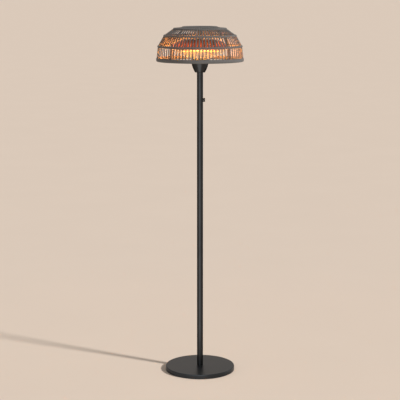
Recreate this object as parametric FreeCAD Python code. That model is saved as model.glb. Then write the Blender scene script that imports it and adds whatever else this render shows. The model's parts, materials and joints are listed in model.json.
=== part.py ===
# A free-standing electric patio heater: round base, pole, heating head and slatted dome shade.
# Millimetres, +Z up. The origin is on the floor under the pole.
# The front looks along -Y, and the knob is on +X.
import FreeCAD
import Part
import math
import os

# Fits and cuts
fit_gap = 0.1
seat_gap = 0.3
running_gap = 0.05
overrun = 1.0

# Base
foot_height = 3.0
foot_radius = 12.0
foot_count = 6
foot_inset = 36.5
base_radius = 201.5
base_height = 26.0
base_skirt_gap = 0.8
base_wall = 1.5
base_edge_radius = 4.0
base_plate_thickness = 1.5
weight_gap = 0.5
base_screw_count = 6
base_screw_inset = 81.5
base_screw_radius = 2.5
base_screw_head_radius = 4.5
base_screw_head_height = 1.8
base_screw_depth_share = 0.6
bolt_radius = 5.0
bolt_thread_length = 30.0
bolt_head_flats = 17.0
bolt_head_height = 6.4
bolt_hole_gap = 0.5
washer_radius = 20.0
washer_thickness = 3.0
bolt_pocket_gap = 5.0

# Pole
pole_radius = 17.5
pole_wall = 1.5
lower_pole_length = 876.0
upper_pole_length = 880.0
foot_insert_length = 40.0
coupler_length = 120.0
coupler_wall = 4.4
coupler_screw_radius = 2.5
coupler_screw_head_radius = 4.5
coupler_screw_head_height = 2.2
coupler_screw_place_share = 0.25
coupler_screw_angle = 90.0

# Cable inlet bush at the back of the pole
inlet_rise = 70.0
inlet_bore_radius = 4.2
inlet_bush_wall = 2.8
inlet_head_radius = 10.0
inlet_head_height = 4.0
inlet_lip_height = 0.9
inlet_lip_length = 1.2
inlet_angle = 90.0

# Heat switch and its knob on the side of the pole
knob_drop = 190.2
switch_depth = 20.0
switch_width = 19.0
switch_height = 20.0
switch_corner_gap = 0.8
switch_collar_radius = 7.0
switch_bushing_radius = 4.5
switch_bushing_lead = 0.3
switch_seal_radius = 10.5
switch_seal_thickness = 0.8
switch_bezel_radius = 11.0
switch_bezel_height = 1.6
switch_nut_flats = 12.0
switch_nut_height = 2.3
shaft_radius = 3.0
shaft_tail = 8.0
knob_radius = 11.4
knob_length = 8.6
knob_gap = 0.4
knob_face = 2.5
knob_edge_radius = 2.5
knob_recess_gap = 0.6
knob_flute_count = 18
knob_flute_radius = 0.9
knob_flute_depth = 0.5
knob_screw_radius = 1.5
knob_screw_sink = 1.0
knob_seam_turn = 45.0
pointer_width = 1.6
pointer_depth = 0.6
pointer_start = 2.5
pointer_margin = 0.8
lead_radius = 3.0
lead_shift = 5.0
lead_bend_radius = 13.0
lead_tip = 2.0

# Neck cup between the pole and the head
neck_socket_depth = 33.5
neck_height = 69.5
neck_bottom_radius = 30.0
neck_top_radius = 51.0
neck_bulge = 3.7
neck_wall = 2.5
neck_floor = 4.0
neck_edge_radius = 3.0
neck_collar_wall = 5.4
neck_stop_height = 3.0
neck_stop_radius = 13.0
neck_screw_radius = 3.0
neck_screw_length = 9.0
neck_screw_angles = (60.0, 120.0)
neck_screw_height_share = 0.5
neck_access_radius = 3.6
lid_thickness = 2.5
lid_boss_count = 3
lid_boss_radius = 4.5
lid_boss_height = 18.0
lid_boss_overlap = 0.8
lid_screw_radius = 2.0
lid_screw_length = 14.0
lid_screw_head_radius = 4.0
lid_screw_head_height = 2.0
terminal_length = 36.0
terminal_width = 16.0
terminal_height = 10.0
terminal_gap = 1.6
tilt_switch_radius = 8.0
tilt_switch_height = 14.0
tilt_switch_offset = 26.0

# Stem that carries the head and the shade
stem_radius = 6.0
stem_wall = 1.5
stem_tail = 12.0
stem_nut_flats = 18.0
stem_nut_height = 6.0
spacer_radius = 10.0
lower_spacer_length = 88.0
upper_spacer_length = 43.8
cover_seal_radius = 14.0
cover_seal_thickness = 1.5
cap_nut_height = 11.0
cap_nut_skirt_share = 0.5
cap_thread_share = 0.64
window_half_width = 4.0
window_gap = 0.8

# Reflector and its cover
reflector_thickness = 1.2
reflector_flat_margin = 22.5
reflector_skirt_width = 30.0
reflector_flange_width = 12.0
reflector_depth = 25.0
reflector_bulge = 4.0
head_gap = 23.8
cover_wall = 1.5
cover_skirt_height = 10.0
cover_skirt_drop = 2.5
cover_flat_radius = 58.0
cover_bulge = 11.2
cutout_radius = 8.0
cutout_height = 9.0
cutout_offset = 75.0

# Heating elements
tube_radius = 5.0
tube_wall = 1.0
tube_bend_radius = 12.0
tube_seal_length = 6.0
filament_radius = 1.5
element_drop = 39.0
inner_ring_radius = 46.0
outer_ring_radius = 102.0
leg_offset = 15.0
inner_gap_angle = 0.0
outer_gap_angle = 180.0
element_cap_radius = 8.0
element_cap_drop = 12.0
element_cap_rise = 14.0
element_cap_flange_radius = 10.5
element_cap_flange_height = 2.0
element_cap_socket_rise = 4.0
element_clip_angles = (90.0, 180.0, 270.0)
element_clip_gap = 0.4
element_clip_thickness = 1.0
element_clip_width = 8.0
wire_radius = 1.1
wire_bend_radius = 4.0
wire_offset = 2.6
wire_half_spacing = 1.3
wire_tail = 2.0

# Wire guard under the elements
guard_hub_radius = 34.0
guard_hub_thickness = 2.0
guard_wire_radius = 1.5
guard_wire_count = 24
guard_wire_overlap = 6.0
guard_rim_inset = 6.0
guard_rim_wire_radius = 2.5
guard_belly = 10.0
guard_ring_count = 10
guard_clip_count = 4
guard_clip_width = 14.0
guard_clip_thickness = 1.2
guard_clip_hook = 4.0
guard_clip_rise = 3.5
clip_screw_radius = 2.0
clip_screw_length = 8.0
clip_screw_head_radius = 3.6
clip_screw_head_height = 2.0

# Shade: hoops, bands of slats, ribs and the disc that carries it
hoop_wire_radius = 6.3
top_hoop_radius = 96.0
top_band_width = 50.2
top_band_drop = 8.5
upper_band_width = 55.0
upper_band_drop = 38.2
middle_band_width = 34.1
middle_band_drop = 59.5
lower_band_width = 6.9
lower_band_drop = 69.9
rim_half_thickness = 6.4
rim_height = 21.5
slat_count = 80
slat_phase = -0.9
slat_width = 8.4
slat_thickness = 3.0
slat_chamfer = 0.8
slat_outset = 2.0
top_slat_fill_share = 0.74
rib_radius = 2.5
rib_count = 4
rib_step = 10
rib_end_share = 0.25
disc_thickness = 1.5
disc_dish = 5.0
disc_slope_width = 6.0
disc_ledge_inner = 9.0
disc_ledge_outer = 3.0

# Heights of the faces that the pieces stand on
foot_circle_radius = base_radius - foot_inset
base_screw_circle_radius = base_radius - base_screw_inset
plate_top = foot_height + base_plate_thickness
cover_underside = base_height - base_wall
pocket_roof = foot_height + bolt_head_height + washer_thickness
pole_joint = base_height + lower_pole_length
pole_top = pole_joint + upper_pole_length
pole_bore = pole_radius - pole_wall
knob_height = pole_top - knob_drop
neck_bottom = pole_top - neck_socket_depth
lid_bottom = neck_bottom + neck_height
lid_top = lid_bottom + lid_thickness
hub_top = lid_top + guard_hub_thickness
reflector_bottom = hub_top + lower_spacer_length
reflector_top = reflector_bottom + reflector_thickness
cover_bottom = reflector_top + head_gap
cover_top = cover_bottom + cover_wall
seal_top = cover_top + cover_seal_thickness
upper_nut_top = seal_top + stem_nut_height
disc_bottom = upper_nut_top + upper_spacer_length
disc_top = disc_bottom + disc_thickness
flange_bottom = reflector_bottom - reflector_depth
reflector_flat_radius = outer_ring_radius + reflector_flat_margin
cover_radius = reflector_flat_radius + reflector_skirt_width + reflector_flange_width
guard_rim_radius = cover_radius - guard_rim_inset
guard_rim_height = flange_bottom - seat_gap - guard_rim_wire_radius
cover_skirt_bottom = flange_bottom - cover_skirt_drop
element_height = reflector_bottom - element_drop
stem_bore = stem_radius - stem_wall
stem_hole = stem_radius + fit_gap
lid_boss_circle = neck_top_radius - neck_wall - lid_boss_radius + lid_boss_overlap
terminal_middle = stem_nut_flats / math.sqrt(3) + terminal_gap + terminal_width / 2

# Distances from the pole's axis along the knob's axis
switch_front = math.sqrt(pole_bore ** 2 - (switch_width / 2) ** 2) - switch_corner_gap
switch_seat = math.sqrt(pole_bore ** 2 - switch_collar_radius ** 2) - seat_gap
seal_face = pole_radius + switch_seal_thickness
bezel_face = seal_face + switch_bezel_height
nut_face = bezel_face + switch_nut_height
bushing_end = nut_face + switch_bushing_lead
knob_back = bezel_face + knob_gap
knob_recess_end = bushing_end + knob_gap
knob_end = knob_back + knob_length
shaft_start = switch_front - shaft_tail
shaft_end = knob_end - knob_face

# Centre lines of the hoops, as radius and height
top_hoop = (top_hoop_radius, disc_top + disc_dish + seat_gap + hoop_wire_radius)
upper_hoop = (top_hoop[0] + top_band_width, top_hoop[1] - top_band_drop)
middle_hoop = (upper_hoop[0] + upper_band_width, upper_hoop[1] - upper_band_drop)
lower_hoop = (middle_hoop[0] + middle_band_width, middle_hoop[1] - middle_band_drop)
rim_crown = (lower_hoop[0] + lower_band_width, lower_hoop[1] - lower_band_drop)
rim_top = rim_crown[1] + rim_half_thickness
rim_bottom = rim_top - rim_height

up = FreeCAD.Vector(0, 0, 1)
origin = FreeCAD.Vector(0, 0, 0)


def flat(point):
    """A point given as radius and height, in the XZ plane."""
    return FreeCAD.Vector(point[0], 0, point[1])


def lifted(point, rise):
    return (point[0], point[1] + rise)


def bowed(start, end, bulge):
    """The middle of an arc from start to end that stands bulge to the left of its chord."""
    run = (end[0] - start[0], end[1] - start[1])
    length = math.hypot(*run)
    middle = ((start[0] + end[0]) / 2, (start[1] + end[1]) / 2)
    return (middle[0] - run[1] / length * bulge, middle[1] + run[0] / length * bulge)


def line(start, end):
    return Part.LineSegment(start, end).toShape()


def arc(start, middle, end):
    return Part.Arc(start, middle, end).toShape()


def turned(start, *steps):
    """A solid of revolution about Z. A step is a point, or the middle and end of an arc."""
    edges = []
    here = start
    for step in steps:
        if isinstance(step[0], tuple):
            edges.append(arc(flat(here), flat(step[0]), flat(step[1])))
            here = step[1]
        else:
            edges.append(line(flat(here), flat(step)))
            here = step
    if here != start:
        edges.append(line(flat(here), flat(start)))
    return Part.Face(Part.Wire(edges)).revolve(origin, up, 360)


def rod(radius, bottom, top, x=0, y=0):
    return Part.makeCylinder(radius, top - bottom, FreeCAD.Vector(x, y, bottom))


def tube(outer, inner, bottom, top):
    return turned((inner, bottom), (outer, bottom), (outer, top), (inner, top))


def hexagon(flats, bottom, top):
    corner = flats / math.sqrt(3)
    angles = [math.radians(60 * step) for step in range(7)]
    points = [FreeCAD.Vector(corner * math.cos(a), corner * math.sin(a), bottom) for a in angles]
    return Part.Face(Part.makePolygon(points)).extrude(up * (top - bottom))


def block(low, high):
    size = [high[axis] - low[axis] for axis in range(3)]
    return Part.makeBox(*size, FreeCAD.Vector(*low))


def spun(shape, degrees):
    copy = shape.copy()
    copy.rotate(origin, up, degrees)
    return copy


def pattern(shape, count, start=0):
    """Copies of one solid, evenly spaced about Z."""
    return [spun(shape, start + 360 * step / count) for step in range(count)]


def sideways(shape, degrees, height):
    """Lays a shape built up the Z axis along the direction at this angle, at this height."""
    copy = shape.copy()
    copy.rotate(origin, FreeCAD.Vector(0, 1, 0), 90)
    copy.rotate(origin, up, degrees)
    copy.translate(up * height)
    return copy


def swept(edges, radius):
    """A round bar along a smooth path of lines and arcs."""
    first = edges[0]
    start = first.valueAt(first.FirstParameter)
    along = first.tangentAt(first.FirstParameter)
    section = Part.Wire(Part.Circle(start, along, radius).toShape())
    return Part.Wire(edges).makePipeShell([section], True, False)


def screw(shank_radius, shank_length, head_radius, head_height):
    """A screw that points down: its head stands on height zero."""
    return rod(shank_radius, -shank_length, 0).fuse(rod(head_radius, 0, head_height)).removeSplitter()


def group(shapes):
    return Part.makeCompound(list(shapes))


# Base

def base_screw_depth():
    return base_plate_thickness + (cover_underside - plate_top) * base_screw_depth_share


def base_screw_holes():
    hole = rod(
        base_screw_radius + fit_gap,
        foot_height - overrun,
        foot_height + base_screw_depth() + overrun,
        base_screw_circle_radius,
    )
    return pattern(hole, base_screw_count)


def make_base_cover():
    inner = base_radius - base_wall
    shoulder = base_height - base_edge_radius
    centre = base_radius - base_edge_radius
    diagonal = math.sqrt(0.5)
    outer_turn = base_edge_radius * diagonal
    inner_turn = (base_edge_radius - base_wall) * diagonal
    hole = bolt_radius + bolt_hole_gap
    return turned(
        (hole, cover_underside),
        (centre, cover_underside),
        ((centre + inner_turn, shoulder + inner_turn), (inner, shoulder)),
        (inner, base_skirt_gap),
        (base_radius, base_skirt_gap),
        (base_radius, shoulder),
        ((centre + outer_turn, shoulder + outer_turn), (centre, base_height)),
        (hole, base_height),
    )


def make_base_weight():
    radius = base_radius - base_wall - weight_gap
    pocket = washer_radius + bolt_pocket_gap
    hole = bolt_radius + bolt_hole_gap
    weight = turned(
        (pocket, plate_top),
        (radius, plate_top),
        (radius, cover_underside - base_edge_radius),
        (radius - base_edge_radius, cover_underside),
        (hole, cover_underside),
        (hole, pocket_roof),
        (pocket, pocket_roof),
    )
    return weight.cut(base_screw_holes())


def make_base_plate():
    radius = base_radius - base_wall - weight_gap
    plate = tube(radius, washer_radius + bolt_pocket_gap, foot_height, plate_top)
    return plate.cut(base_screw_holes())


def make_base_feet():
    return group(pattern(rod(foot_radius, 0, foot_height, foot_circle_radius), foot_count))


def make_base_screws():
    one = screw(base_screw_radius, base_screw_depth(), base_screw_head_radius, base_screw_head_height)
    one.rotate(origin, FreeCAD.Vector(1, 0, 0), 180)
    one.translate(FreeCAD.Vector(base_screw_circle_radius, 0, foot_height))
    return group(pattern(one, base_screw_count))


def make_centre_bolt():
    head_top = foot_height + bolt_head_height
    shank = rod(bolt_radius, head_top, base_height + bolt_thread_length)
    return hexagon(bolt_head_flats, foot_height, head_top).fuse(shank).removeSplitter()


def make_centre_washer():
    return tube(washer_radius, bolt_radius + bolt_hole_gap, pocket_roof - washer_thickness, pocket_roof)


# Pole

def coupler_screw_heights():
    reach = coupler_length * coupler_screw_place_share
    return (pole_joint - reach, pole_joint + reach)


def coupler_screw_holes():
    hole = rod(coupler_screw_radius + fit_gap, 0, pole_radius + overrun)
    return [sideways(hole, coupler_screw_angle, height) for height in coupler_screw_heights()]


def inlet_neck_radius():
    return inlet_bore_radius + inlet_bush_wall


def make_lower_pole():
    pole = tube(pole_radius, pole_bore, base_height, pole_joint)
    inlet = rod(inlet_neck_radius() + fit_gap, 0, pole_radius + overrun)
    return pole.cut([sideways(inlet, inlet_angle, base_height + inlet_rise)] + coupler_screw_holes())


def make_upper_pole():
    pole = tube(pole_radius, pole_bore, pole_joint, pole_top)
    bushing = rod(switch_bushing_radius + fit_gap, 0, pole_radius + overrun)
    return pole.cut([sideways(bushing, 0, knob_height)] + coupler_screw_holes())


def make_pole_foot_insert():
    return tube(pole_bore - fit_gap, bolt_radius + fit_gap, base_height, base_height + foot_insert_length)


def make_pole_coupler():
    outer = pole_bore - fit_gap
    half = coupler_length / 2
    sleeve = tube(outer, outer - coupler_wall, pole_joint - half, pole_joint + half)
    return sleeve.cut(coupler_screw_holes())


def make_coupler_screws():
    one = screw(
        coupler_screw_radius, pole_wall + coupler_wall, coupler_screw_head_radius, coupler_screw_head_height
    )
    one.translate(up * (pole_radius + fit_gap))
    return group(sideways(one, coupler_screw_angle, height) for height in coupler_screw_heights())


def make_inlet_bush():
    height = base_height + inlet_rise
    face = pole_radius + inlet_head_height
    neck = inlet_neck_radius()
    lip = neck + inlet_lip_height
    lip_front = math.sqrt(pole_bore ** 2 - lip ** 2) - seat_gap
    lip_back = lip_front - inlet_lip_length
    saddle_reach = inlet_head_radius + overrun
    saddle = rod(pole_radius + fit_gap, height - saddle_reach, height + saddle_reach)
    head = sideways(rod(inlet_head_radius, 0, face), inlet_angle, height).cut(saddle)
    body = sideways(rod(neck, lip_back, face), inlet_angle, height)
    ring = sideways(rod(lip, lip_back, lip_front), inlet_angle, height)
    bore = sideways(rod(inlet_bore_radius, 0, face + overrun), inlet_angle, height)
    return head.fuse([body, ring]).cut(bore).removeSplitter()


# Heat switch, built along the knob's axis and then laid along +X

def on_knob_axis(shape):
    return sideways(shape, 0, knob_height)


def pole_at_knob(radius):
    reach = switch_bezel_radius + overrun
    return rod(radius, knob_height - reach, knob_height + reach)


def make_switch_body():
    half_height = switch_height / 2
    half_width = switch_width / 2
    switch_back = switch_front - switch_depth
    case = block((-half_height, -half_width, switch_back), (half_height, half_width, switch_front))
    collar = rod(switch_collar_radius, switch_front, switch_seat)
    bushing = rod(switch_bushing_radius, switch_front, bushing_end)
    bore = rod(shaft_radius + running_gap, shaft_start - running_gap, bushing_end + overrun)
    return on_knob_axis(case.fuse([collar, bushing]).cut(bore).removeSplitter())


def make_switch_seal():
    ring = tube(switch_seal_radius, switch_bushing_radius + fit_gap, 0, seal_face + overrun)
    return on_knob_axis(ring).common(pole_at_knob(seal_face)).cut(pole_at_knob(pole_radius))


def make_switch_bezel():
    ring = tube(switch_bezel_radius, switch_bushing_radius + fit_gap, 0, bezel_face)
    return on_knob_axis(ring).cut(pole_at_knob(seal_face))


def make_switch_nut():
    bore = rod(switch_bushing_radius + fit_gap, bezel_face - overrun, nut_face + overrun)
    return on_knob_axis(hexagon(switch_nut_flats, bezel_face, nut_face).cut(bore))


def make_knob_shaft():
    return on_knob_axis(rod(shaft_radius, shaft_start, shaft_end))


def knob_screw_rod(radius, start, end):
    """A bar across the knob, away from the pointer, between two distances from the shaft's axis."""
    middle = (knob_recess_end + shaft_end) / 2
    bar = rod(radius, start, end)
    bar.rotate(origin, FreeCAD.Vector(0, 1, 0), 90)
    bar.translate(up * middle)
    return bar


def pointer_bar():
    reach = knob_radius - knob_edge_radius - pointer_margin
    half_width = pointer_width / 2
    return block((-reach, -half_width, knob_end - pointer_depth), (-pointer_start, half_width, knob_end))


def make_control_knob():
    recess = switch_nut_flats / math.sqrt(3) + knob_recess_gap
    bore = shaft_radius + fit_gap
    corner = knob_end - knob_edge_radius
    shoulder = knob_radius - knob_edge_radius
    turn = knob_edge_radius * math.sqrt(0.5)
    knob = turned(
        (0, shaft_end),
        (bore, shaft_end),
        (bore, knob_recess_end),
        (recess, knob_recess_end),
        (recess, knob_back),
        (knob_radius, knob_back),
        (knob_radius, corner),
        ((shoulder + turn, corner + turn), (shoulder, knob_end)),
        (0, knob_end),
    )
    knob.rotate(origin, up, knob_seam_turn)
    flute = rod(
        knob_flute_radius,
        knob_back - overrun,
        knob_end + overrun,
        knob_radius + knob_flute_radius - knob_flute_depth,
    )
    flutes = pattern(flute, knob_flute_count, 180 / knob_flute_count)
    screw_hole = knob_screw_rod(knob_screw_radius + fit_gap, 0, knob_radius + overrun)
    return on_knob_axis(knob.cut(flutes + [screw_hole, pointer_bar()]))


def make_knob_screw():
    tip = shaft_radius + fit_gap
    return on_knob_axis(knob_screw_rod(knob_screw_radius, tip, knob_radius - knob_screw_sink))


def make_knob_pointer():
    return on_knob_axis(pointer_bar())


def make_switch_lead():
    """The lead from the switch up the pole, bent back to the terminal block under the lid."""
    start = FreeCAD.Vector(0, lead_shift, knob_height + switch_height / 2)
    end = FreeCAD.Vector(0, terminal_middle, lid_bottom - terminal_height)
    shift = end.y - start.y
    turn = math.acos(1 - shift / (2 * lead_bend_radius))
    rise = lead_bend_radius * math.sin(turn)
    half_turn = turn / 2
    side = lead_bend_radius * (1 - math.cos(half_turn))
    lift = lead_bend_radius * math.sin(half_turn)
    second = end - up * lead_tip
    first = FreeCAD.Vector(0, start.y, second.z - 2 * rise)
    middle = (first + second) / 2
    near = first + FreeCAD.Vector(0, side, lift)
    far = second - FreeCAD.Vector(0, side, lift)
    path = [line(start, first), arc(first, near, middle), arc(middle, far, second), line(second, end)]
    return swept(path, lead_radius)


# Neck

def neck_side():
    """The cup's outer side, as the start, middle and end of an arc."""
    start = (neck_bottom_radius, neck_bottom + neck_edge_radius)
    end = (neck_top_radius, lid_bottom)
    return start, bowed(start, end, -neck_bulge), end


def neck_screw_height():
    return neck_bottom + neck_socket_depth * neck_screw_height_share


def lid_screw_holes():
    hole_end = lid_top - lid_screw_length - overrun
    hole = rod(lid_screw_radius + fit_gap, hole_end, lid_top + overrun, lid_boss_circle)
    return pattern(hole, lid_boss_count)


def make_neck_cup():
    hole = pole_radius + fit_gap
    collar = hole + neck_collar_wall
    floor = neck_bottom + neck_floor
    stop = neck_bottom + neck_socket_depth
    start, middle, end = neck_side()
    foot = (neck_bottom_radius - neck_edge_radius, neck_bottom)
    foot_turn = bowed(foot, start, -neck_edge_radius * (1 - math.sqrt(0.5)))
    inner_end = (neck_top_radius - neck_wall, lid_bottom)
    inner_start = (neck_bottom_radius - neck_wall, floor)
    cup = turned(
        (hole, neck_bottom),
        foot,
        (foot_turn, start),
        (middle, end),
        inner_end,
        (bowed(inner_end, inner_start, neck_bulge), inner_start),
        (collar, floor),
        (collar, stop + neck_stop_height),
        (neck_stop_radius, stop + neck_stop_height),
        (neck_stop_radius, stop),
        (hole, stop),
    )
    filled = turned((0, neck_bottom), foot, (foot_turn, start), (middle, end), (0, lid_bottom))
    boss = rod(lid_boss_radius, lid_bottom - lid_boss_height, lid_bottom, lid_boss_circle)
    bosses = [one.common(filled) for one in pattern(boss, lid_boss_count)]
    thread = rod(neck_screw_radius + fit_gap, 0, collar + overrun)
    access = rod(neck_access_radius, collar, neck_top_radius)
    cuts = lid_screw_holes()
    for angle in neck_screw_angles:
        cuts += [sideways(thread, angle, neck_screw_height()), sideways(access, angle, neck_screw_height())]
    return cup.fuse(bosses).cut(cuts).removeSplitter()


def make_neck_set_screws():
    start = pole_radius + fit_gap
    one = rod(neck_screw_radius, start, start + neck_screw_length)
    return group(sideways(one, angle, neck_screw_height()) for angle in neck_screw_angles)


def lid_screw_head(gap):
    """The cone of a countersunk head, its wide end flush with the lid."""
    start = lid_top - lid_screw_head_height
    cone = Part.makeCone(lid_screw_radius + gap, lid_screw_head_radius + gap, lid_screw_head_height)
    cone.translate(FreeCAD.Vector(lid_boss_circle, 0, start))
    return cone


def make_neck_lid():
    lid = tube(neck_top_radius, stem_hole, lid_bottom, lid_top)
    return lid.cut(lid_screw_holes() + pattern(lid_screw_head(fit_gap), lid_boss_count))


def make_lid_screws():
    start = lid_top - lid_screw_head_height
    shank = rod(lid_screw_radius, lid_top - lid_screw_length, start, lid_boss_circle)
    return group(pattern(lid_screw_head(0).fuse(shank).removeSplitter(), lid_boss_count))


def make_terminal_block():
    half_length = terminal_length / 2
    half_width = terminal_width / 2
    low = (-half_length, terminal_middle - half_width, lid_bottom - terminal_height)
    high = (half_length, terminal_middle + half_width, lid_bottom)
    return block(low, high)


def make_tilt_switch():
    return rod(tilt_switch_radius, lid_bottom - tilt_switch_height, lid_bottom, 0, -tilt_switch_offset)


# Stem

def wire_height():
    return (reflector_top + stem_nut_height + cover_bottom - stem_nut_height) / 2


def make_stem():
    stem_top = disc_top + cap_nut_height * cap_thread_share
    body = tube(stem_radius, stem_bore, lid_bottom - stem_tail, stem_top)
    low = reflector_top + stem_nut_height + window_gap
    high = cover_bottom - stem_nut_height - window_gap
    reach = stem_radius + overrun
    window = block((-reach, -window_half_width, low), (reach, window_half_width, high))
    return body.cut(window)


def stem_nut(bottom):
    top = bottom + stem_nut_height
    return hexagon(stem_nut_flats, bottom, top).cut(rod(stem_hole, bottom - overrun, top + overrun))


def make_stem_nuts():
    bottoms = (lid_bottom - stem_nut_height, reflector_top, cover_bottom - stem_nut_height, seal_top)
    return group(stem_nut(bottom) for bottom in bottoms)


def make_lower_spacer():
    return tube(spacer_radius, stem_hole, hub_top, reflector_bottom)


def make_cover_seal():
    return tube(cover_seal_radius, stem_hole, cover_top, seal_top)


def make_upper_spacer():
    return tube(spacer_radius, stem_hole, upper_nut_top, disc_bottom)


def make_cap_nut():
    skirt_top = disc_top + cap_nut_height * cap_nut_skirt_share
    top = disc_top + cap_nut_height
    radius = stem_nut_flats / 2
    dome_side = (radius * math.sqrt(0.5), skirt_top + (top - skirt_top) * math.sqrt(0.5))
    dome = turned((0, disc_top), (radius, disc_top), (radius, skirt_top), (dome_side, (0, top)))
    thread = rod(stem_hole, disc_top - overrun, disc_top + cap_nut_height * cap_thread_share + fit_gap)
    return hexagon(stem_nut_flats, disc_top, skirt_top).fuse(dome).cut(thread).removeSplitter()


# Reflector and cover

def make_reflector():
    rim = cover_radius - cover_wall - seat_gap
    edge = (reflector_flat_radius, reflector_bottom)
    foot = (reflector_flat_radius + reflector_skirt_width, flange_bottom)
    top_edge = lifted(edge, reflector_thickness)
    top_foot = (foot[0] + reflector_thickness, foot[1] + reflector_thickness)
    dish = turned(
        (stem_hole, reflector_bottom),
        edge,
        (bowed(edge, foot, reflector_bulge), foot),
        (rim, flange_bottom),
        (rim, flange_bottom + reflector_thickness),
        top_foot,
        (bowed(top_foot, top_edge, -reflector_bulge), top_edge),
        (stem_hole, reflector_top),
    )
    hole = rod(element_cap_radius + fit_gap, reflector_bottom - overrun, reflector_top + overrun)
    return dish.cut([at_leg(hole, leg) for leg in element_legs()])


def make_reflector_cover():
    inner = cover_radius - cover_wall
    shoulder = cover_skirt_bottom + cover_skirt_height
    outer_edge = (cover_radius, shoulder)
    outer_flat = (cover_flat_radius, cover_top)
    inner_edge = (inner, shoulder)
    inner_flat = (cover_flat_radius, cover_bottom)
    cover = turned(
        (stem_hole, cover_bottom),
        inner_flat,
        (bowed(inner_flat, inner_edge, cover_bulge), inner_edge),
        (inner, cover_skirt_bottom),
        (cover_radius, cover_skirt_bottom),
        outer_edge,
        (bowed(outer_edge, outer_flat, -cover_bulge), outer_flat),
        (stem_hole, cover_top),
    )
    hole = rod(clip_screw_radius + fit_gap, inner - overrun, cover_radius + overrun)
    return cover.cut(pattern(sideways(hole, 0, clip_screw_height()), guard_clip_count))


def make_thermal_cutout():
    return rod(cutout_radius, reflector_top, reflector_top + cutout_height, 0, cutout_offset)


# Heating elements

def leg_angle(ring_radius):
    return math.asin((leg_offset + tube_bend_radius) / ring_radius)


def leg_place(ring_radius, side):
    """Where an element's leg stands, with the element's gap towards +X."""
    turn = leg_angle(ring_radius)
    x = ring_radius * math.cos(turn) + tube_bend_radius * math.sin(turn)
    y = ring_radius * math.sin(turn) - tube_bend_radius * math.cos(turn)
    return FreeCAD.Vector(x, y * side, 0)


def element_legs():
    """The places of the four legs, as the ring's gap angle and the leg's place in front of it."""
    rings = ((inner_gap_angle, inner_ring_radius), (outer_gap_angle, outer_ring_radius))
    return [(angle, leg_place(radius, side)) for angle, radius in rings for side in (1, -1)]


def at_leg(shape, leg):
    angle, place = leg
    copy = shape.copy()
    copy.translate(place)
    return spun(copy, angle)


def element_path(ring_radius, leg_top):
    """Up one leg, round the ring and up the other leg, with the gap towards +X."""
    turn = leg_angle(ring_radius)
    bend = tube_bend_radius
    centre_height = element_height + bend
    diagonal = bend * math.sqrt(0.5)
    starts = []
    bends = []
    for side in (1, -1):
        place = leg_place(ring_radius, side)
        corner = FreeCAD.Vector(ring_radius * math.cos(turn), side * ring_radius * math.sin(turn), 0)
        inward = (place - corner) * (diagonal / bend)
        bends.append(corner + inward + up * (centre_height - diagonal))
        starts.append((place + up * leg_top, place + up * centre_height, corner + up * element_height))
    back = FreeCAD.Vector(-ring_radius, 0, element_height)
    return [
        line(starts[0][0], starts[0][1]),
        arc(starts[0][1], bends[0], starts[0][2]),
        arc(starts[0][2], back, starts[1][2]),
        arc(starts[1][2], bends[1], starts[1][1]),
        line(starts[1][1], starts[1][0]),
    ]


def tube_end():
    return reflector_top + element_cap_socket_rise - fit_gap


def quartz_tube(ring_radius):
    outside = swept(element_path(ring_radius, tube_end()), tube_radius)
    inside = swept(element_path(ring_radius, tube_end() - tube_seal_length), tube_radius - tube_wall)
    core = swept(element_path(ring_radius, tube_end() + overrun), filament_radius + fit_gap)
    return outside.cut([inside, core])


def make_quartz_tubes():
    inner = spun(quartz_tube(inner_ring_radius), inner_gap_angle)
    outer = spun(quartz_tube(outer_ring_radius), outer_gap_angle)
    return group((inner, outer))


def make_filaments():
    inner = swept(element_path(inner_ring_radius, tube_end()), filament_radius)
    outer = swept(element_path(outer_ring_radius, tube_end()), filament_radius)
    return group((spun(inner, inner_gap_angle), spun(outer, outer_gap_angle)))


def make_element_caps():
    body = rod(element_cap_radius, reflector_bottom - element_cap_drop, reflector_top + element_cap_rise)
    flange = rod(element_cap_flange_radius, reflector_top, reflector_top + element_cap_flange_height)
    socket = rod(
        tube_radius + fit_gap,
        reflector_bottom - element_cap_drop - overrun,
        reflector_top + element_cap_socket_rise,
    )
    cap = body.fuse(flange).cut(socket).removeSplitter()
    return group(at_leg(cap, leg) for leg in element_legs())


def element_clip(ring_radius):
    """A spring loop round the tube, hung on a strip from the reflector."""
    inner = tube_radius + element_clip_gap
    outer = inner + element_clip_thickness
    half_width = element_clip_width / 2
    half_thickness = element_clip_thickness / 2
    loop = tube(outer, inner, -half_width, half_width)
    loop.rotate(origin, FreeCAD.Vector(1, 0, 0), 90)
    strip_low = (-half_thickness, -half_width, inner + half_thickness)
    strip = block(strip_low, (half_thickness, half_width, element_drop))
    clip = loop.fuse(strip).removeSplitter()
    clip.translate(FreeCAD.Vector(ring_radius, 0, element_height))
    return clip


def make_element_clips():
    rings = ((inner_gap_angle, inner_ring_radius), (outer_gap_angle, outer_ring_radius))
    clips = []
    for gap_angle, radius in rings:
        clips += [spun(element_clip(radius), gap_angle + angle) for angle in element_clip_angles]
    return group(clips)


def element_wire(place):
    """A wire up the stem and out of its window to the cap of a leg in front of +X."""
    side = math.copysign(wire_half_spacing, place.y)
    base = FreeCAD.Vector(wire_offset, side, 0)
    out = (place - base).normalize()
    height = wire_height()
    start = base + up * (lid_bottom - stem_tail - wire_tail)
    bend_start = base + up * (height - wire_bend_radius)
    diagonal = wire_bend_radius * math.sqrt(0.5)
    bend_middle = base + out * (wire_bend_radius - diagonal) + up * (height - wire_bend_radius + diagonal)
    bend_end = base + out * wire_bend_radius + up * height
    end = place - out * (element_cap_radius + seat_gap) + up * height
    bend = arc(bend_start, bend_middle, bend_end)
    return swept([line(start, bend_start), bend, line(bend_end, end)], wire_radius)


def make_element_leads():
    return group(spun(element_wire(place), angle) for angle, place in element_legs())


# Wire guard

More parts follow.
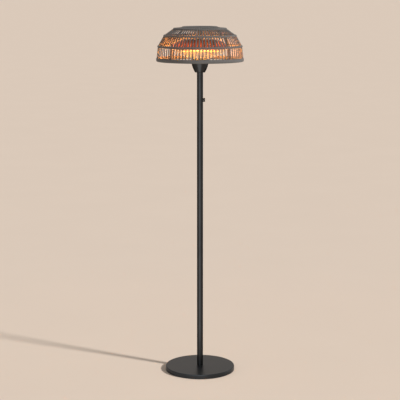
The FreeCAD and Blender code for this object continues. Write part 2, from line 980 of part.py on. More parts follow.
def guard_wire_ends():
    start = (guard_hub_radius - guard_wire_overlap, hub_top + guard_wire_radius + fit_gap)
    end = (guard_rim_radius - guard_rim_wire_radius - seat_gap, guard_rim_height)
    return start, end


def guard_wire_edge():
    start, end = guard_wire_ends()
    return arc(flat(start), flat(bowed(start, end, -guard_belly)), flat(end))


def make_guard_hub():
    return tube(guard_hub_radius, stem_hole, lid_top, hub_top)


def make_guard_wires():
    wire = swept([guard_wire_edge()], guard_wire_radius)
    return group(pattern(wire, guard_wire_count, 180 / guard_wire_count))


def make_guard_rings():
    edge = guard_wire_edge()
    rings = [Part.makeTorus(guard_rim_radius, guard_rim_wire_radius, up * guard_rim_height)]
    for index in range(guard_ring_count):
        share = (index + 1) / (guard_ring_count + 1)
        at = edge.FirstParameter + (edge.LastParameter - edge.FirstParameter) * share
        along = edge.tangentAt(at)
        inward = FreeCAD.Vector(-along.z, 0, along.x)
        place = edge.valueAt(at) + inward * (2 * guard_wire_radius + fit_gap)
        rings.append(Part.makeTorus(place.x, guard_wire_radius, up * place.z))
    return group(rings)


def clip_screw_height():
    return flange_bottom + reflector_thickness + clip_screw_radius + seat_gap + fit_gap


def make_guard_clips():
    half_width = guard_clip_width / 2
    inside = cover_radius + fit_gap
    outside = inside + guard_clip_thickness
    hook_top = guard_rim_height - guard_rim_wire_radius - seat_gap
    hook_bottom = hook_top - guard_clip_thickness
    top = clip_screw_height() + guard_clip_rise
    plate = block((inside, -half_width, hook_bottom), (outside, half_width, top))
    hook_low = (guard_rim_radius - guard_clip_hook, -half_width, hook_bottom)
    hook = block(hook_low, (inside, half_width, hook_top))
    hole = rod(clip_screw_radius + fit_gap, inside - overrun, outside + overrun)
    clip = plate.fuse(hook).cut(sideways(hole, 0, clip_screw_height())).removeSplitter()
    return group(pattern(clip, guard_clip_count))


def make_clip_screws():
    one = screw(clip_screw_radius, clip_screw_length, clip_screw_head_radius, clip_screw_head_height)
    one.translate(up * (cover_radius + fit_gap + guard_clip_thickness))
    return group(pattern(sideways(one, 0, clip_screw_height()), guard_clip_count))


# Shade

def hoop(centre):
    return Part.makeTorus(centre[0], hoop_wire_radius, up * centre[1])


def make_rim_hoop():
    inner = rim_crown[0] - rim_half_thickness
    outer = rim_crown[0] + rim_half_thickness
    low = rim_bottom + rim_half_thickness
    return turned(
        (outer, low),
        (outer, rim_crown[1]),
        ((rim_crown[0], rim_top), (inner, rim_crown[1])),
        (inner, low),
        ((rim_crown[0], rim_bottom), (outer, low)),
    )


def across(start, end):
    """Unit steps along a band, from one hoop's centre to the next, and out of its face."""
    along = (flat(end) - flat(start)).normalize()
    return along, FreeCAD.Vector(-along.z, 0, along.x)


def slat_ring(start, end, end_radius, width):
    """The slats of one band: straight bars with bevelled edges that end just short of the hoops."""
    along, out = across(start, end)
    inset = slat_outset - slat_thickness / 2
    first = math.sqrt(hoop_wire_radius ** 2 - inset ** 2) + seat_gap
    last = math.sqrt(end_radius ** 2 - inset ** 2) + seat_gap
    begin = flat(start) + along * first + out * slat_outset
    length = (flat(end) - flat(start)).Length - first - last
    half_width = width / 2
    half_thickness = slat_thickness / 2
    section = [
        (half_width - slat_chamfer, -half_thickness),
        (half_width, -half_thickness + slat_chamfer),
        (half_width, half_thickness - slat_chamfer),
        (half_width - slat_chamfer, half_thickness),
    ]
    section += [(-x, -y) for x, y in section]
    points = [begin + FreeCAD.Vector(0, x, 0) + out * y for x, y in section]
    slat = Part.Face(Part.makePolygon(points + points[:1])).extrude(along * length)
    return group(pattern(slat, slat_count, slat_phase))


def make_top_slats():
    pitch = 2 * math.pi * (top_hoop[0] + hoop_wire_radius) / slat_count
    return slat_ring(top_hoop, upper_hoop, hoop_wire_radius, pitch * top_slat_fill_share)


def make_upper_slats():
    return slat_ring(upper_hoop, middle_hoop, hoop_wire_radius, slat_width)


def make_middle_slats():
    return slat_ring(middle_hoop, lower_hoop, hoop_wire_radius, slat_width)


def make_lower_slats():
    return slat_ring(lower_hoop, rim_crown, rim_half_thickness, slat_width)


def rib_corner(before, centre, after):
    """Where a rib passes inside a hoop, square to the bend of the shade there."""
    outward = (across(before, centre)[1] + across(centre, after)[1]).normalize()
    return flat(centre) - outward * (hoop_wire_radius + seat_gap + rib_radius)


def make_frame_ribs():
    ledge_bottom = disc_bottom + disc_dish
    inside = rim_crown[0] - rim_half_thickness - seat_gap - rib_radius
    corners = [
        FreeCAD.Vector(top_hoop[0], 0, ledge_bottom - seat_gap - rib_radius),
        rib_corner(top_hoop, upper_hoop, middle_hoop),
        rib_corner(upper_hoop, middle_hoop, lower_hoop),
        rib_corner(middle_hoop, lower_hoop, rim_crown),
        FreeCAD.Vector(inside, 0, rim_bottom + rim_height * rib_end_share),
    ]
    bars = []
    for start, end in zip(corners, corners[1:]):
        bars.append(Part.makeCylinder(rib_radius, (end - start).Length, start, end - start))
    knees = [Part.makeSphere(rib_radius, corner) for corner in corners[1:-1]]
    rib = bars[0].fuse(bars[1:] + knees).removeSplitter()
    return group(pattern(rib, rib_count, slat_phase + 360 * rib_step / slat_count))


def make_top_disc():
    ledge_inner = top_hoop[0] - disc_ledge_inner
    flat_radius = ledge_inner - disc_slope_width
    ledge_outer = top_hoop[0] + disc_ledge_outer
    under = [(stem_hole, disc_bottom), (flat_radius, disc_bottom)]
    under += [(ledge_inner, disc_bottom + disc_dish), (ledge_outer, disc_bottom + disc_dish)]
    over = [lifted(point, disc_thickness) for point in reversed(under)]
    return turned(*under, *over)


nodes = {
    "base_cover": make_base_cover,
    "base_weight": make_base_weight,
    "base_plate": make_base_plate,
    "base_feet": make_base_feet,
    "base_screws": make_base_screws,
    "centre_bolt": make_centre_bolt,
    "centre_washer": make_centre_washer,
    "lower_pole": make_lower_pole,
    "upper_pole": make_upper_pole,
    "pole_foot_insert": make_pole_foot_insert,
    "pole_coupler": make_pole_coupler,
    "coupler_screws": make_coupler_screws,
    "inlet_bush": make_inlet_bush,
    "switch_body": make_switch_body,
    "switch_seal": make_switch_seal,
    "switch_bezel": make_switch_bezel,
    "switch_nut": make_switch_nut,
    "knob_shaft": make_knob_shaft,
    "control_knob": make_control_knob,
    "knob_screw": make_knob_screw,
    "knob_pointer": make_knob_pointer,
    "switch_lead": make_switch_lead,
    "neck_cup": make_neck_cup,
    "neck_set_screws": make_neck_set_screws,
    "neck_lid": make_neck_lid,
    "lid_screws": make_lid_screws,
    "terminal_block": make_terminal_block,
    "tilt_switch": make_tilt_switch,
    "stem": make_stem,
    "stem_nuts": make_stem_nuts,
    "lower_spacer": make_lower_spacer,
    "cover_seal": make_cover_seal,
    "upper_spacer": make_upper_spacer,
    "cap_nut": make_cap_nut,
    "guard_hub": make_guard_hub,
    "guard_wires": make_guard_wires,
    "guard_rings": make_guard_rings,
    "guard_clips": make_guard_clips,
    "clip_screws": make_clip_screws,
    "reflector": make_reflector,
    "reflector_cover": make_reflector_cover,
    "quartz_tubes": make_quartz_tubes,
    "filaments": make_filaments,
    "element_caps": make_element_caps,
    "element_clips": make_element_clips,
    "element_leads": make_element_leads,
    "thermal_cutout": make_thermal_cutout,
    "rim_hoop": make_rim_hoop,
    "lower_hoop": lambda: hoop(lower_hoop),
    "middle_hoop": lambda: hoop(middle_hoop),
    "upper_hoop": lambda: hoop(upper_hoop),
    "top_hoop": lambda: hoop(top_hoop),
    "lower_slats": make_lower_slats,
    "middle_slats": make_middle_slats,
    "upper_slats": make_upper_slats,
    "top_slats": make_top_slats,
    "frame_ribs": make_frame_ribs,
    "top_disc": make_top_disc,
}

os.makedirs("parts", exist_ok=True)
for name, make in nodes.items():
    make().exportStep("parts/" + name + ".step")
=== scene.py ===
# The looks of a free-standing electric patio heater with a slatted dome shade, in metres.
import bpy
import json
import math
import random
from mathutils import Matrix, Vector


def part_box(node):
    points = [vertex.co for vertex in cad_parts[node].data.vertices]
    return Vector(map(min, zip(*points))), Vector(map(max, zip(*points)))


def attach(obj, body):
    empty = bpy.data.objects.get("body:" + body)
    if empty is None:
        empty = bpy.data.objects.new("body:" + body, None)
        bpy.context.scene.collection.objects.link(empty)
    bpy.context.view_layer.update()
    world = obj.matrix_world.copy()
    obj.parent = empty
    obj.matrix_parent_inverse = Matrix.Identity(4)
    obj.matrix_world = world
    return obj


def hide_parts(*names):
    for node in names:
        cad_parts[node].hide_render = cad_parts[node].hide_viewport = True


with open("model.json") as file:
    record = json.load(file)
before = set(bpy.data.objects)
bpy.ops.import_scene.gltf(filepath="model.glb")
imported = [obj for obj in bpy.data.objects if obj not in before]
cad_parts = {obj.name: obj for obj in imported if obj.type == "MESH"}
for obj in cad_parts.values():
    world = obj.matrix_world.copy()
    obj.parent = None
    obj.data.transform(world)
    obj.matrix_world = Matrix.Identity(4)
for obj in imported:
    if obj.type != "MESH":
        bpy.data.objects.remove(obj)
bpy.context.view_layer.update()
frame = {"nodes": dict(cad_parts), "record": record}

scene = bpy.context.scene
draw = random.Random(7)

# Camera: where it stands, how far it looks down, and its focal length in pixels of the frame
camera_place = (0.0, -7.012, 2.21)
camera_pitch = math.radians(9.686)
focal_pixels = 1231.0
frame_pixels = 400.0
sensor_width = 36.0

# Strips of the shade
strip_count = 80
strip_phase = math.radians(-0.9)
strip_width = 0.0084
strip_thickness = 0.003
strip_outset = 0.002
strip_steps = 6
strip_lean_limit = 0.0003
strip_lift_limit = 0.0002
strip_dark = (0.082, 0.083, 0.084)
strip_light = (0.117, 0.118, 0.119)
lit_strip_share = 0.26
top_fill_share = 0.75

# Fibres of the strips, in cells per metre across a strip, and how far each strip's fibres are shifted
fibre_scale = 1900.0
fibre_detail = 4.0
fibre_stretch = (1, 0.04, 1)
fibre_shift = 0.37
fibre_dark = (0.72, 0.71, 0.70)
fibre_light = (1.12, 1.12, 1.12)
fibre_roughness = (0.5, 0.72)
fibre_depth = 0.00012
fibre_bump_share = 0.8

# Wound hoops of the shade
rim_half_thickness = 0.0064
winding_width = 0.0085
winding_relief = 0.00055
winding_steps = 7
winding_slip_share = 0.02
hoop_sides = 20
level_limit = 1e-6

# Glow of the elements
element_power = 1.6
element_colour = (1.0, 0.55, 0.10)
shade_power = 10.0
shade_inset = 0.056
shade_lift = -0.030
shade_tilt = math.radians(20.0)
cover_power = 1.8
cover_inset = 0.020
cover_lift = 0.015
cover_spread = math.radians(50.0)
lamp_size = 0.03
lamp_count = 24
glow_colour = (1.0, 0.30, 0.045)
glow_noise_scale = 160.0
glow_noise_detail = 2.0
glow_dark_share = 0.85
filament_colour = (1.0, 0.5, 0.2)
filament_glow = (1.0, 0.64, 0.13)
filament_strength = 20.0
quartz_colour = (1.0, 0.72, 0.42)
quartz_glow = (1.0, 0.52, 0.08)
quartz_strength = 8.5
bright_ring_radius = 0.055
dim_ring_radius = 0.090
dim_ring_share = 0.08

# Changes of tone, gloss and relief on coats, bare metal and concrete
tone_scale = 9.0
tone_detail = 4.0
gloss_share = 0.15
grain_detail = 2.0
brush_scale = 700.0
brush_detail = 3.0
brush_dark_share = 0.8
brush_gloss_share = 0.3
brush_depth = 0.00002
concrete_scale = 120.0
concrete_detail = 8.0
concrete_dark = (0.30, 0.29, 0.27)
concrete_light = (0.52, 0.51, 0.48)
concrete_roughness = 0.9
concrete_depth = 0.0006

# Floor and light
floor_colour = (0.695, 0.595, 0.513)
floor_dark_share = 0.985
floor_scale = 1.3
floor_detail = 4.0
floor_roughness = 0.9
floor_specular = 0.1
floor_half_size = 900.0
sun_strength = 3.6
sun_angle = math.radians(5.0)
sun_direction = Vector((-1.29, 0.71, -1.02))
sun_colour = (1.0, 0.96, 0.91)
world_colour = (0.93, 0.92, 0.91)
world_strength = 0.40
backdrop_colour = (0.66, 0.585, 0.52)
softbox_glow = 4.2
front_softbox_size = (0.55, 1.75)
front_softbox_place = (-0.11, -0.5)
side_softbox_size = (1.6, 2.4)
side_softbox_place = (3.4, 1.4)


# Shader helpers

def new_material(name):
    """A new material, its node tree and its principled shader."""
    material = bpy.data.materials.new(name)
    material.use_nodes = True
    return material, material.node_tree, material.node_tree.nodes["Principled BSDF"]


def add(tree, kind, **settings):
    """A new node in a tree, with its settings."""
    node = tree.nodes.new(kind)
    for key, value in settings.items():
        setattr(node, key, value)
    return node


def noise(tree, source, scale, detail, stretch):
    """Noise over the coordinates of a source, which are stretched first."""
    mapping = add(tree, "ShaderNodeMapping")
    mapping.inputs["Scale"].default_value = stretch
    texture = add(tree, "ShaderNodeTexNoise")
    texture.inputs["Scale"].default_value = scale
    texture.inputs["Detail"].default_value = detail
    tree.links.new(source, mapping.inputs["Vector"])
    tree.links.new(mapping.outputs["Vector"], texture.inputs["Vector"])
    return texture.outputs["Fac"]


def object_noise(tree, scale, detail, stretch=(1, 1, 1)):
    """Noise over the object's own coordinates, in cells per metre."""
    place = add(tree, "ShaderNodeTexCoord")
    return noise(tree, place.outputs["Object"], scale, detail, stretch)


def ramp(tree, source, low, high, start=0.3, end=0.7):
    """Spreads a 0 to 1 value over two colours."""
    node = add(tree, "ShaderNodeValToRGB")
    node.color_ramp.elements[0].position = start
    node.color_ramp.elements[1].position = end
    node.color_ramp.elements[0].color = (*low, 1)
    node.color_ramp.elements[1].color = (*high, 1)
    tree.links.new(source, node.inputs["Fac"])
    return node.outputs["Color"]


def spread(tree, source, low, high):
    """Spreads a 0 to 1 value over two numbers."""
    node = add(tree, "ShaderNodeMapRange")
    node.inputs["To Min"].default_value = low
    node.inputs["To Max"].default_value = high
    tree.links.new(source, node.inputs["Value"])
    return node.outputs["Result"]


def bump(tree, shader, source, depth, strength=1.0):
    """Relief of a depth in metres on a shader."""
    node = add(tree, "ShaderNodeBump")
    node.inputs["Strength"].default_value = strength
    node.inputs["Distance"].default_value = depth
    tree.links.new(source, node.inputs["Height"])
    tree.links.new(node.outputs["Normal"], shader.inputs["Normal"])


def scaled(colour, share):
    """A colour made lighter or darker."""
    return [channel * share for channel in colour]


# Finishes

def coated(name, colour, roughness, grain=1400.0, depth=0.00004, metallic=0.0, tone_share=0.12):
    """A painted, moulded or plated surface with fine grain and slow changes of tone and gloss."""
    material, tree, shader = new_material(name)
    slow = object_noise(tree, tone_scale, tone_detail)
    tone = ramp(tree, slow, scaled(colour, 1 - tone_share), scaled(colour, 1 + tone_share))
    gloss = spread(tree, slow, roughness * (1 - gloss_share), roughness * (1 + gloss_share))
    tree.links.new(tone, shader.inputs["Base Color"])
    tree.links.new(gloss, shader.inputs["Roughness"])
    shader.inputs["Metallic"].default_value = metallic
    bump(tree, shader, object_noise(tree, grain, grain_detail), depth)
    return material


def brushed(name, colour, roughness, stretch):
    """Bare metal with fine lines along one direction."""
    material, tree, shader = new_material(name)
    lines = object_noise(tree, brush_scale, brush_detail, stretch)
    tone = ramp(tree, lines, scaled(colour, brush_dark_share), colour)
    gloss = spread(tree, lines, roughness * (1 - brush_gloss_share), roughness * (1 + brush_gloss_share))
    tree.links.new(tone, shader.inputs["Base Color"])
    tree.links.new(gloss, shader.inputs["Roughness"])
    shader.inputs["Metallic"].default_value = 1.0
    bump(tree, shader, lines, brush_depth)
    return material


def ring_strength(tree, strength):
    """Full strength on the inner ring of the elements, falling to a share of it on the outer ring."""
    place = add(tree, "ShaderNodeTexCoord")
    level = add(tree, "ShaderNodeVectorMath", operation="MULTIPLY")
    level.inputs[1].default_value = (1, 1, 0)
    radius = add(tree, "ShaderNodeVectorMath", operation="LENGTH")
    fade = add(tree, "ShaderNodeMapRange")
    fade.inputs["From Min"].default_value = bright_ring_radius
    fade.inputs["From Max"].default_value = dim_ring_radius
    fade.inputs["To Min"].default_value = strength
    fade.inputs["To Max"].default_value = strength * dim_ring_share
    tree.links.new(place.outputs["Object"], level.inputs[0])
    tree.links.new(level.outputs["Vector"], radius.inputs[0])
    tree.links.new(radius.outputs["Value"], fade.inputs["Value"])
    return fade.outputs["Result"]


def glowing(name, colour, emission, strength, alpha, roughness):
    """Hot quartz or carbon, whose glow is uneven along its length."""
    material, tree, shader = new_material(name)
    warm = object_noise(tree, glow_noise_scale, glow_noise_detail)
    glow = ramp(tree, warm, scaled(emission, glow_dark_share), emission)
    tree.links.new(glow, shader.inputs["Emission Color"])
    tree.links.new(ring_strength(tree, strength), shader.inputs["Emission Strength"])
    shader.inputs["Base Color"].default_value = (*colour, 1)
    shader.inputs["Roughness"].default_value = roughness
    shader.inputs["Alpha"].default_value = alpha
    return material


def wicker(name, through):
    """Grey resin strips, each with its own tone and fine fibres, that let a share of the light through."""
    material, tree, shader = new_material(name)
    uv = add(tree, "ShaderNodeUVMap", uv_map="strip")
    fibres = noise(tree, uv.outputs["UV"], fibre_scale, fibre_detail, fibre_stretch)
    island = add(tree, "ShaderNodeNewGeometry")
    dark = scaled(strip_dark, 1 / (1 - through))
    light = scaled(strip_light, 1 / (1 - through))
    tone = ramp(tree, island.outputs["Random Per Island"], dark, light, 0, 1)
    shade = ramp(tree, fibres, fibre_dark, fibre_light)
    product = add(tree, "ShaderNodeVectorMath", operation="MULTIPLY")
    tree.links.new(tone, product.inputs[0])
    tree.links.new(shade, product.inputs[1])
    tree.links.new(product.outputs["Vector"], shader.inputs["Base Color"])
    tree.links.new(spread(tree, fibres, *fibre_roughness), shader.inputs["Roughness"])
    shader.inputs["Transmission Weight"].default_value = through
    bump(tree, shader, fibres, fibre_depth, fibre_bump_share)
    return material


def concrete():
    """Cast concrete with a coarse grain."""
    material, tree, shader = new_material("concrete")
    grain = object_noise(tree, concrete_scale, concrete_detail)
    tree.links.new(ramp(tree, grain, concrete_dark, concrete_light), shader.inputs["Base Color"])
    shader.inputs["Roughness"].default_value = concrete_roughness
    bump(tree, shader, grain, concrete_depth)
    return material


def sheen_coat(name, colour, roughness, edge_share):
    """Black coat with a sheen that is held back, to a share, where the surface turns edge-on."""
    material = coated(name, colour, roughness, grain=1700.0, depth=0.00003, metallic=1.0)
    shader = material.node_tree.nodes["Principled BSDF"]
    shader.inputs["Specular Tint"].default_value = (edge_share, edge_share, edge_share, 1)
    return material


def cover_coat_with_painted_glow():
    """Heat-proof metal under a clear coat that catches light on its rounded shoulder, whose red-brown colour
    is partly its own and partly painted orange glow from the elements.
    """
    # The red-brown base colour is partly the cover's own dark colour and partly painted glow of the
    # elements' orange light.
    material = coated("dark_cover", (0.36, 0.11, 0.045), 0.48, depth=0.00003, metallic=0.85)
    shader = material.node_tree.nodes["Principled BSDF"]
    shader.inputs["Coat Weight"].default_value = 1.0
    shader.inputs["Coat Roughness"].default_value = 0.12
    return material


# The finish of each material slot but black_coat, whose nodes have their own
finishes = {
    "zinc_steel": brushed("zinc_steel", (0.55, 0.55, 0.56), 0.34, (1, 1, 0.15)),
    "black_steel": coated("black_steel", (0.030, 0.030, 0.032), 0.38),
    "concrete": concrete(),
    "rubber": coated("rubber", (0.018, 0.018, 0.018), 0.75, grain=900.0, depth=0.00008),
    "black_plastic": coated("black_plastic", (0.011, 0.011, 0.012), 0.55, grain=2400.0, depth=0.00005),
    "pale_plastic": coated("pale_plastic", (0.78, 0.78, 0.76), 0.35),
    "switch_plastic": coated("switch_plastic", (0.05, 0.05, 0.055), 0.5),
    "lead_sleeve": coated("lead_sleeve", (0.52, 0.50, 0.47), 0.6),
    "white_ceramic": coated("white_ceramic", (0.78, 0.76, 0.71), 0.55, grain=700.0, depth=0.00006),
    "guard_chrome": coated(
        "guard_chrome", (0.84, 0.77, 0.60), 0.40, grain=900.0, depth=0.00001, metallic=1.0, tone_share=0.04
    ),
    "polished_reflector": brushed("polished_reflector", (0.86, 0.81, 0.66), 0.16, (0.2, 0.2, 1)),
    "dark_cover": cover_coat_with_painted_glow(),
    "quartz": glowing("quartz", quartz_colour, quartz_glow, quartz_strength, alpha=0.4, roughness=0.08),
    "carbon": glowing("carbon", filament_colour, filament_glow, filament_strength, alpha=1.0, roughness=0.6),
    "grey_wicker": wicker("grey_wicker", 0.0),
    "shade_frame": coated("shade_frame", (0.095, 0.094, 0.093), 0.5),
}

# Finishes of the lowest band's strips, of the black-coated nodes, and of one spacer that is drawn dark
lit_wicker = wicker("lit_wicker", lit_strip_share)
base_coat = sheen_coat("base_coat", (0.045, 0.052, 0.060), 0.36, 0.87)
pole_coat = sheen_coat("pole_coat", (0.040, 0.044, 0.048), 0.30, 0.15)
neck_coat = sheen_coat("neck_coat", (0.038, 0.040, 0.042), 0.24, 0.15)
node_finishes = {
    "base_cover": base_coat,
    "lower_pole": pole_coat,
    "upper_pole": pole_coat,
    "neck_cup": neck_coat,
    "neck_lid": neck_coat,
    "upper_spacer": finishes["black_steel"],
}


def dress_cad_nodes():
    """Gives each CAD node its own finish, or the finish of its slot."""
    for part in frame["record"]["subparts"]:
        node = frame["nodes"][part["node"]]
        finish = node_finishes.get(part["node"]) or finishes[part["material_slot"]]
        if not node.material_slots:
            node.data.materials.append(finish)
        for place in node.material_slots:
            place.material = finish


# Shade pieces

def hoop_line(node):
    """Radius and height of a hoop's centre line, and the radius of its section."""
    low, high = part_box(node)
    section = (high.z - low.z) / 2
    return high.x - section, (low.z + high.z) / 2, section


def rim_line():
    """Radius of the rim's centre line, its middle height and its half height."""
    low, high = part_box("rim_hoop")
    return high.x - rim_half_thickness, (low.z + high.z) / 2, (high.z - low.z) / 2


def mesh_piece(name, vertices, faces, uvs, node, finish):
    """A smooth wicker piece that stands for a CAD node."""
    mesh = bpy.data.meshes.new(name)
    mesh.from_pydata(vertices, [], faces)
    layer = mesh.uv_layers.new(name="strip")
    for loop in mesh.loops:
        layer.data[loop.index].uv = uvs[loop.vertex_index]
    mesh.shade_smooth()
    mesh.materials.append(finish)
    piece = bpy.data.objects.new(name, mesh)
    scene.collection.objects.link(piece)
    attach(piece, "stand")
    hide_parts(node)


def strip_section(width):
    """Across a strip: a crowned outer face with two grooves, and a flatter inner face."""
    edge_shares = [(-1.0, 0.0), (-0.92, 0.55), (-0.62, 0.86)]
    groove_shares = [(-0.36, 0.97), (-0.30, 0.80), (-0.24, 0.98)]
    left_shares = edge_shares + groove_shares
    right_shares = [(-across, rise) for across, rise in reversed(left_shares)]
    inner_shares = [(0.86, -0.62), (0.40, -0.8), (-0.40, -0.8), (-0.86, -0.62)]
    shares = left_shares + [(0.0, 1.0)] + right_shares + inner_shares
    return [(across * width / 2, rise * strip_thickness / 2) for across, rise in shares]


def strip_band(name, node, start, end, width, finish):
    """One band of straight strips from one hoop's centre line to the next."""
    along = Vector((end[0] - start[0], 0, end[1] - start[1]))
    length = along.length
    along.normalize()
    out = Vector((-along.z, 0, along.x))
    section = strip_section(width)
    count = len(section)
    vertices = []
    faces = []
    uvs = []
    for strip in range(strip_count):
        turn = strip_phase + 2 * math.pi * strip / strip_count
        side = Vector((-math.sin(turn), math.cos(turn), 0))
        lean = draw.uniform(-strip_lean_limit, strip_lean_limit)
        lift = draw.uniform(-strip_lift_limit, strip_lift_limit)
        first = len(vertices)
        for step in range(strip_steps + 1):
            share = step / strip_steps
            flat = Vector((start[0], 0, start[1])) + along * (length * share)
            bow = math.sin(math.pi * share)
            for across, rise in section:
                point = flat + out * (strip_outset + rise + lift * bow)
                centre = Vector((point.x * math.cos(turn), point.x * math.sin(turn), point.z))
                vertices.append(centre + side * (across + lean * bow))
                uvs.append((across, length * share + strip * fibre_shift))
        for step in range(strip_steps):
            for index in range(count):
                a = first + step * count + index
                b = first + step * count + (index + 1) % count
                faces.append((a, a + count, b + count, b))
        last = first + strip_steps * count
        faces.append(tuple(first + index for index in range(count)))
        faces.append(tuple(last + index for index in reversed(range(count))))
    mesh_piece(name, vertices, faces, uvs, node, finish)


def wound_ring(name, node, radius, height, half_thickness, straight):
    """A hoop wound with strip: an oval section with a shallow ridge for each turn of the winding."""
    turns = round(2 * math.pi * radius / winding_width)
    around = turns * winding_steps
    vertices = []
    faces = []
    uvs = []
    for step in range(around):
        angle = 2 * math.pi * step / around
        for side in range(hoop_sides):
            tilt = 2 * math.pi * side / hoop_sides
            rise = math.sin(tilt)
            phase = (step / winding_steps + side / hoop_sides) % 1.0
            crown = math.sqrt(max(0.0, 1 - (2 * phase - 1) ** 2))
            reach = half_thickness - winding_relief * (1 - crown)
            lift = math.copysign(straight, rise) if abs(rise) > level_limit else 0
            r = radius + reach * math.cos(tilt)
            z = height + reach * rise + lift
            vertices.append(Vector((r * math.cos(angle), r * math.sin(angle), z)))
            slip = half_thickness * tilt * winding_slip_share
            uvs.append((slip + phase * winding_width, radius * angle))
    for step in range(around):
        for side in range(hoop_sides):
            a = step * hoop_sides + side
            b = step * hoop_sides + (side + 1) % hoop_sides
            c = ((step + 1) % around) * hoop_sides + (side + 1) % hoop_sides
            d = ((step + 1) % around) * hoop_sides + side
            faces.append((a, d, c, b))
    mesh_piece(name, vertices, faces, uvs, node, finishes["grey_wicker"])


def make_shade():
    """Five wound hoops, and four bands of strips between them."""
    top = hoop_line("top_hoop")
    upper = hoop_line("upper_hoop")
    middle = hoop_line("middle_hoop")
    lower = hoop_line("lower_hoop")
    rim = rim_line()
    rim_straight = rim[2] - rim_half_thickness
    rim_crown = (rim[0], rim[1] + rim_straight)
    for name, line in (("top", top), ("upper", upper), ("middle", middle), ("lower", lower)):
        wound_ring(name + "_hoop_winding", name + "_hoop", line[0], line[1], line[2], 0)
    wound_ring("rim_winding", "rim_hoop", rim[0], rim[1], rim_half_thickness, rim_straight)
    plain = finishes["grey_wicker"]
    top_width = 2 * math.pi * (top[0] + top[2]) / strip_count * top_fill_share
    strip_band("top_strips", "top_slats", top, upper, top_width, plain)
    strip_band("upper_strips", "upper_slats", upper, middle, strip_width, plain)
    strip_band("middle_strips", "middle_slats", middle, lower, strip_width, plain)
    strip_band("lower_strips", "lower_slats", lower, rim_crown, strip_width, lit_wicker)


# Stage, light and camera

def make_floor():
    """A wide pale floor."""
    material, tree, shader = new_material("floor")
    slow = object_noise(tree, floor_scale, floor_detail)
    tone = ramp(tree, slow, scaled(floor_colour, floor_dark_share), floor_colour)
    tree.links.new(tone, shader.inputs["Base Color"])
    shader.inputs["Roughness"].default_value = floor_roughness
    shader.inputs["Specular IOR Level"].default_value = floor_specular
    half = floor_half_size
    corners = [(-half, -half, 0), (half, -half, 0), (half, half, 0), (-half, half, 0)]
    mesh = bpy.data.meshes.new("floor")
    mesh.from_pydata(corners, [], [(0, 1, 2, 3)])
    mesh.materials.append(material)
    floor = bpy.data.objects.new("floor", mesh)
    scene.collection.objects.link(floor)


def make_world():
    """A pale backdrop to the eye, in glossy surfaces and through glass, and a plainer light on surfaces."""
    world = bpy.data.worlds.new("studio")
    world.use_nodes = True
    tree = world.node_tree
    plain = tree.nodes["Background"]
    plain.inputs["Color"].default_value = (*world_colour, 1)
    plain.inputs["Strength"].default_value = world_strength
    pale = add(tree, "ShaderNodeBackground")
    pale.inputs["Color"].default_value = (*backdrop_colour, 1)
    rays = add(tree, "ShaderNodeLightPath")
    seen = rays.outputs["Is Camera Ray"]
    for kind in ("Is Glossy Ray", "Is Transmission Ray"):
        either = add(tree, "ShaderNodeMath", operation="MAXIMUM")
        tree.links.new(seen, either.inputs[0])
        tree.links.new(rays.outputs[kind], either.inputs[1])
        seen = either.outputs["Value"]
    mix = add(tree, "ShaderNodeMixShader")
    tree.links.new(seen, mix.inputs["Fac"])
    tree.links.new(plain.outputs["Background"], mix.inputs[1])
    tree.links.new(pale.outputs["Background"], mix.inputs[2])
    tree.links.new(mix.outputs["Shader"], tree.nodes["World Output"].inputs["Surface"])
    scene.world = world


def make_softbox(name, place, size, turn):
    """An upright lamp on the floor that shows only in glossy surfaces."""
    width, height = size
    softbox = bpy.data.lights.new(name, "AREA")
    softbox.shape = "RECTANGLE"
    softbox.size = width
    softbox.size_y = height
    softbox.energy = softbox_glow * width * height
    lamp = bpy.data.objects.new(name, softbox)
    lamp.location = (*place, height / 2)
    lamp.rotation_euler = (math.pi / 2, 0, turn)
    lamp.visible_camera = False
    lamp.visible_diffuse = False
    scene.collection.objects.link(lamp)


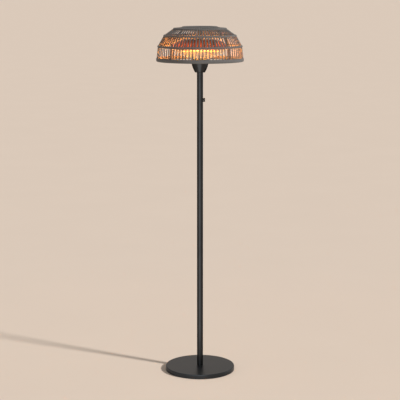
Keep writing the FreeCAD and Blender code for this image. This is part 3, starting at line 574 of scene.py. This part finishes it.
def make_light():
    """A sun that stays out of glossy surfaces, and the softboxes that show there instead."""
    sun = bpy.data.lights.new("sun", "SUN")
    sun.energy = sun_strength
    sun.angle = sun_angle
    sun.color = sun_colour
    lamp = bpy.data.objects.new("sun", sun)
    lamp.rotation_euler = sun_direction.to_track_quat("-Z", "Y").to_euler()
    lamp.visible_glossy = False
    scene.collection.objects.link(lamp)
    make_softbox("front_softbox", front_softbox_place, front_softbox_size, 0)
    make_softbox("side_softbox", side_softbox_place, side_softbox_size, math.pi / 2)


def ring_of_lamps(name, radius, height, power, colour, tilt, spread_angle=math.pi):
    """Small square lamps in a ring that face outwards, turned up by the tilt."""
    for index in range(lamp_count):
        angle = 2 * math.pi * (index + 0.5) / lamp_count
        light = bpy.data.lights.new(name, "AREA")
        light.energy = power / lamp_count
        light.color = colour
        light.size = lamp_size
        light.spread = spread_angle
        lamp = bpy.data.objects.new(name, light)
        lamp.location = (radius * math.cos(angle), radius * math.sin(angle), height)
        lamp.rotation_euler = (math.pi / 2 + tilt, 0, angle - math.pi / 2)
        lamp.visible_camera = False
        lamp.visible_glossy = False
        scene.collection.objects.link(lamp)


def make_glow():
    """The elements' light: down on the guard, out on the shade, and back from the shade on the cover."""
    low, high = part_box("filaments")
    ring_of_lamps("element_glow", high.x, low.z, element_power, element_colour, -math.pi / 2)
    radius, height = hoop_line("lower_hoop")[:2]
    shade_radius = radius - shade_inset
    shade_height = height + shade_lift
    ring_of_lamps("shade_glow", shade_radius, shade_height, shade_power, glow_colour, shade_tilt)
    cover_radius = radius - cover_inset
    cover_height = height + cover_lift
    ring_of_lamps("cover_glow", cover_radius, cover_height, cover_power, glow_colour, math.pi, cover_spread)


def make_camera():
    """The camera of the main view."""
    data = bpy.data.cameras.new("camera")
    data.sensor_width = sensor_width
    data.lens = sensor_width * focal_pixels / frame_pixels
    camera = bpy.data.objects.new("camera", data)
    camera.location = camera_place
    camera.rotation_euler = (math.pi / 2 - camera_pitch, 0, 0)
    scene.collection.objects.link(camera)
    scene.camera = camera


scene.view_settings.view_transform = "Standard"
dress_cad_nodes()
make_shade()
make_floor()
make_world()
make_light()
make_glow()
make_camera()
